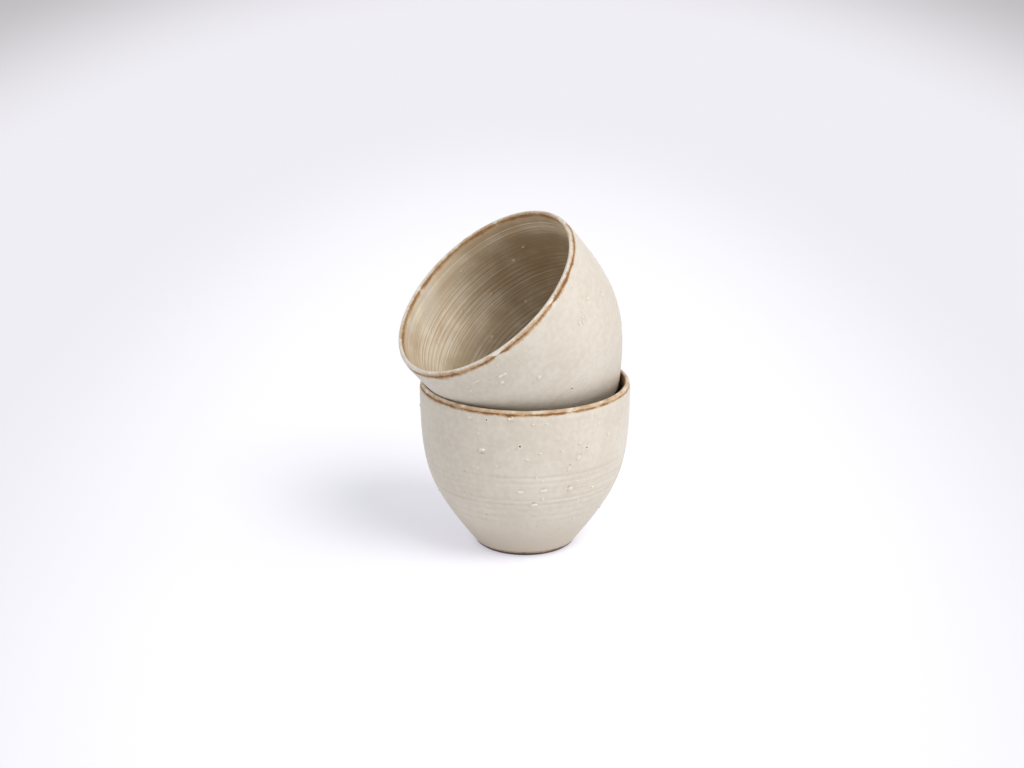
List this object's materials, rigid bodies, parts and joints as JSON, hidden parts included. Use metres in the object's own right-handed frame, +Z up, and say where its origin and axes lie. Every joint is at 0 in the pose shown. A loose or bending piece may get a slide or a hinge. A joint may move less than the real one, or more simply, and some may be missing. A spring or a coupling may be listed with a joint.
{
  "type": "stacked tea cups",
  "caption": "Hand-thrown stoneware tea cup with an oatmeal glaze, bare brown lip lines and throwing rings, with its matching cup leaning in its mouth.",
  "frame": {"origin": "centre of the lower cup's foot, on the table", "axes": "+Z up along the lower cup's axis; +X to the viewer's right in the picture; the upper cup leans towards -X and -Y"},
  "size_m": [0.0921, 0.0905, 0.1342],
  "materials": {
    "bare_clay": "bare iron-brown stoneware, matt",
    "outer_glaze": "satin oatmeal glaze with grit and pinholes",
    "rim_glaze": "satin oatmeal glaze, thin over the lip",
    "inner_glaze": "satin oatmeal glaze, tan along the throwing rings"
  },
  "bodies": {
    "lower_cup": {"lower_clay_body": "bare_clay", "lower_outer_glaze": "outer_glaze", "lower_rim_glaze": "rim_glaze", "lower_inner_glaze": "inner_glaze"},
    "upper_cup": {"upper_clay_body": "bare_clay", "upper_outer_glaze": "outer_glaze", "upper_rim_glaze": "rim_glaze", "upper_inner_glaze": "inner_glaze"}
  },
  "joints": [
    {"name": "upper_cup_lift", "type": "slide", "parent": "lower_cup", "child": "upper_cup", "axis": [0, 0, 1], "range_m": [0, 0.06]}
  ]
}
